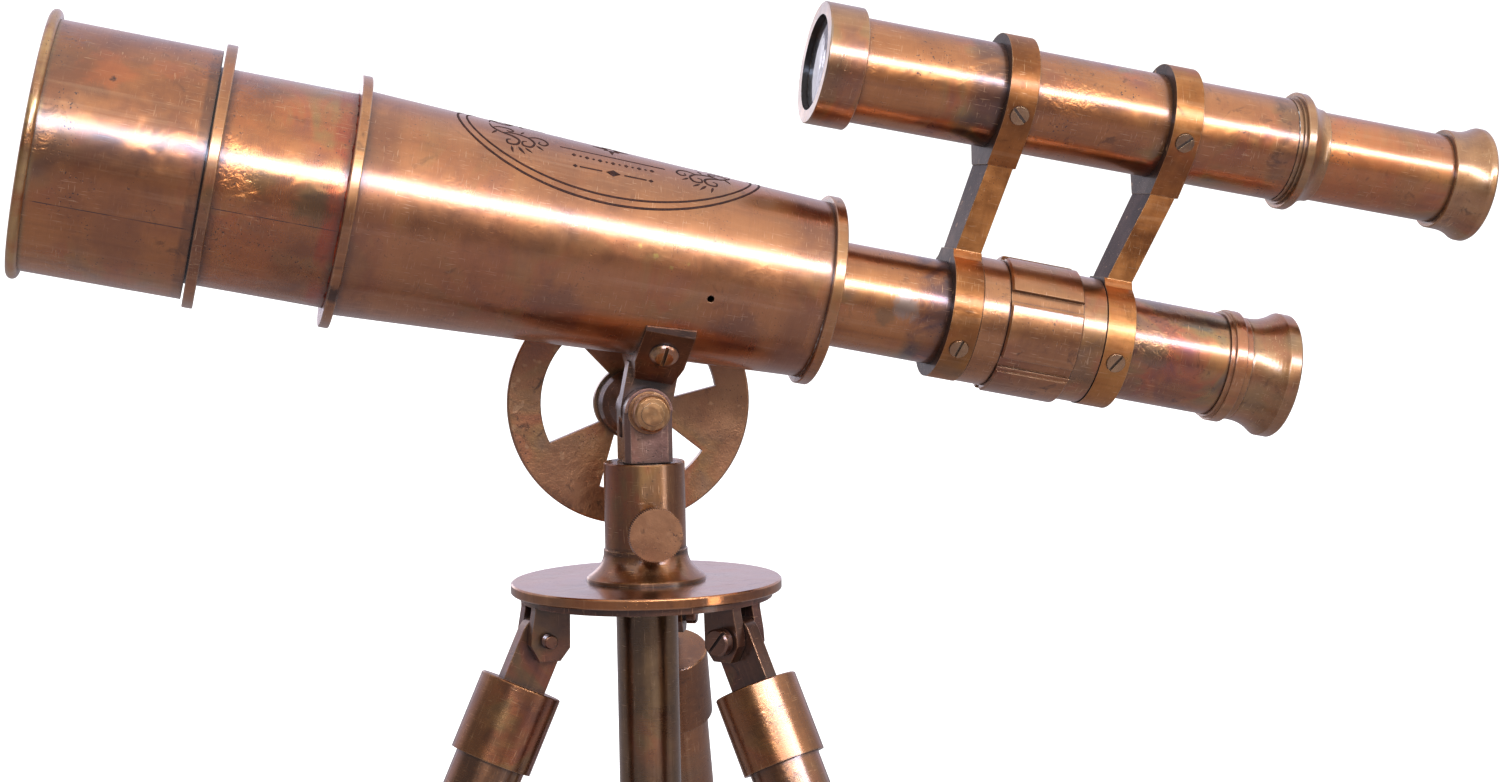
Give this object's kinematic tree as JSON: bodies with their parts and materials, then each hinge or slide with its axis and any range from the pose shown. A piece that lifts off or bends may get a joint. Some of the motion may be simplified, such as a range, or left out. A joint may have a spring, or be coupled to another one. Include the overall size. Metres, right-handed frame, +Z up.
{
  "type": "tripod telescope",
  "caption": "Aged brass terrestrial telescope with a parallel finder tube, sliding draw tubes, tilting yoke with hand wheel, and a folding tube-leg tripod.",
  "frame": {"origin": "on the floor under the middle of the bounding box", "axes": "+Z up, the objective looks towards -X and 11.76 degrees up, the eyepieces are at +X, the hand wheel is on the +Y side"},
  "size_m": [0.5483, 0.3926, 0.6138],
  "materials": {
    "aged_brass": "aged copper-brown patina, lightly brushed, satin",
    "turned_brass": "turned, yellower brass rubbed bright on the edges",
    "dark_brass": "dark oxidised casting, dull satin",
    "brass_fastener": "slotted turned heads, rubbed",
    "optical_glass": "polished lens"
  },
  "bodies": {
    "tripod_head": {"tripod_plate": "aged_brass", "leg_crown": "dark_brass", "pedestal": "aged_brass", "centre_column": "aged_brass", "crown_screws": "brass_fastener", "hinge_bolts": "brass_fastener"},
    "clamp_screw": {"clamp_screw": "brass_fastener"},
    "stem": {"stem": "dark_brass"},
    "yoke": {"yoke": "dark_brass", "pivot_bolt": "brass_fastener", "pivot_washer": "brass_fastener", "wheel_cap_nut": "brass_fastener"},
    "hand_wheel": {"wheel_hub": "dark_brass", "hand_wheel": "dark_brass"},
    "telescope": {"saddle": "dark_brass", "saddle_screws": "brass_fastener", "body_tube": "aged_brass", "front_flange": "aged_brass", "rear_flange": "aged_brass", "objective_tube": "aged_brass", "stop_ring": "aged_brass", "objective_cell": "turned_brass", "objective_crown_lens": "optical_glass", "objective_flint_lens": "optical_glass", "objective_retaining_ring": "turned_brass"},
    "dew_cap": {"dew_cap": "aged_brass"},
    "draw": {"draw_tube": "aged_brass", "focus_barrel": "aged_brass", "front_bracket": "aged_brass", "rear_bracket": "aged_brass", "bracket_screws": "brass_fastener", "eye_end_ring": "aged_brass", "eyecup": "turned_brass", "eyepiece_lenses": "optical_glass", "finder_tube": "aged_brass", "finder_bezel": "turned_brass", "finder_objective_lens": "optical_glass", "finder_end_collar": "aged_brass"},
    "focus_ring": {"focus_ring": "aged_brass"},
    "erector": {"erector_carrier": "aged_brass", "erector_lenses": "optical_glass"},
    "finder_draw": {"finder_draw_tube": "aged_brass", "finder_eyecup": "turned_brass", "finder_eye_lens": "optical_glass"},
    "leg_front_right": {"leg_tongue_front_right": "dark_brass", "leg_ferrule_front_right": "aged_brass", "leg_tube_front_right": "aged_brass"},
    "leg_lock_front_right": {"leg_lock_ring_front_right": "aged_brass"},
    "leg_lower_front_right": {"leg_lower_front_right": "aged_brass"},
    "leg_rear": {"leg_tongue_rear": "dark_brass", "leg_ferrule_rear": "aged_brass", "leg_tube_rear": "aged_brass"},
    "leg_lock_rear": {"leg_lock_ring_rear": "aged_brass"},
    "leg_lower_rear": {"leg_lower_rear": "aged_brass"},
    "leg_front_left": {"leg_tongue_front_left": "dark_brass", "leg_ferrule_front_left": "aged_brass", "leg_tube_front_left": "aged_brass"},
    "leg_lock_front_left": {"leg_lock_ring_front_left": "aged_brass"},
    "leg_lower_front_left": {"leg_lower_front_left": "aged_brass"}
  },
  "joints": [
    {"name": "stem_lift", "type": "slide", "parent": "tripod_head", "child": "stem", "axis": [0, 0, 1], "range_m": [0, 0.08]},
    {"name": "pan", "type": "hinge", "parent": "stem", "child": "yoke", "pos_m": [-0.04905, -0.02282, 0.45071], "axis": [0, 0, 1], "continuous": true},
    {"name": "clamp_screw_turn", "type": "hinge", "parent": "tripod_head", "child": "clamp_screw", "pos_m": [-0.04905, -0.04282, 0.42641], "axis": [0, -1, 0], "range_deg": [-360, 0]},
    {"name": "tilt", "type": "hinge", "parent": "yoke", "child": "telescope", "pos_m": [-0.04865, -0.02282, 0.46871], "axis": [0, 1, 0], "range_deg": [-30, 48]},
    {"name": "hand_wheel_turn", "type": "hinge", "parent": "yoke", "child": "hand_wheel", "pos_m": [-0.04865, 0.01118, 0.46871], "axis": [0, 1, 0], "range_deg": [-270, 0]},
    {"name": "dew_cap_slide", "type": "slide", "parent": "telescope", "child": "dew_cap", "axis": [-0.979, 0, 0.2038], "range_m": [0, 0.03]},
    {"name": "draw_focus", "type": "slide", "parent": "telescope", "child": "draw", "axis": [0.979, 0, -0.2038], "range_m": [-0.038, 0.03]},
    {"name": "focus_ring_turn", "type": "hinge", "parent": "draw", "child": "focus_ring", "pos_m": [0.09388, -0.02282, 0.49369], "axis": [0.979, 0, -0.2038], "range_deg": [-60, 60]},
    {"name": "erector_slide", "type": "slide", "parent": "draw", "child": "erector", "axis": [0.979, 0, -0.2038], "range_m": [-0.0042, 0.0042]},
    {"name": "finder_draw_slide", "type": "slide", "parent": "draw", "child": "finder_draw", "axis": [0.9822, 0, -0.1879], "range_m": [-0.048, 0.02]},
    {"name": "leg_fold_front_right", "type": "hinge", "parent": "tripod_head", "child": "leg_front_right", "pos_m": [-0.02195, -0.05292, 0.38971], "axis": [0.7431, 0.6691, 0], "range_deg": [0, 25]},
    {"name": "leg_lock_turn_front_right", "type": "hinge", "parent": "leg_front_right", "child": "leg_lock_front_right", "pos_m": [0.07165, -0.15687, 0.08972], "axis": [0.2828, -0.3141, -0.9063], "range_deg": [0, 120]},
    {"name": "leg_extend_front_right", "type": "slide", "parent": "leg_front_right", "child": "leg_lower_front_right", "axis": [0.2828, -0.3141, -0.9063], "range_m": [0, 0.25]},
    {"name": "leg_fold_rear", "type": "hinge", "parent": "tripod_head", "child": "leg_rear", "pos_m": [-0.03653, 0.0157, 0.38971], "axis": [-0.9511, 0.309, 0], "range_deg": [0, 25]},
    {"name": "leg_lock_turn_rear", "type": "hinge", "parent": "leg_rear", "child": "leg_lock_rear", "pos_m": [0.00669, 0.14874, 0.08972], "axis": [0.1306, 0.4019, -0.9063], "range_deg": [0, 120]},
    {"name": "leg_extend_rear", "type": "slide", "parent": "leg_rear", "child": "leg_lower_rear", "axis": [0.1306, 0.4019, -0.9063], "range_m": [0, 0.25]},
    {"name": "leg_fold_front_left", "type": "hinge", "parent": "tripod_head", "child": "leg_front_left", "pos_m": [-0.08866, -0.03124, 0.38971], "axis": [0.2079, -0.9781, 0], "range_deg": [0, 25]},
    {"name": "leg_lock_turn_front_left", "type": "hinge", "parent": "leg_front_left", "child": "leg_lock_front_left", "pos_m": [-0.2255, -0.06032, 0.08972], "axis": [-0.4134, -0.0879, -0.9063], "range_deg": [0, 120]},
    {"name": "leg_extend_front_left", "type": "slide", "parent": "leg_front_left", "child": "leg_lower_front_left", "axis": [-0.4134, -0.0879, -0.9063], "range_m": [0, 0.25]}
  ],
  "couplings": [
    {"joint": "erector_slide", "follows": "focus_ring_turn", "m_per_rad": 0.0038197}
  ]
}
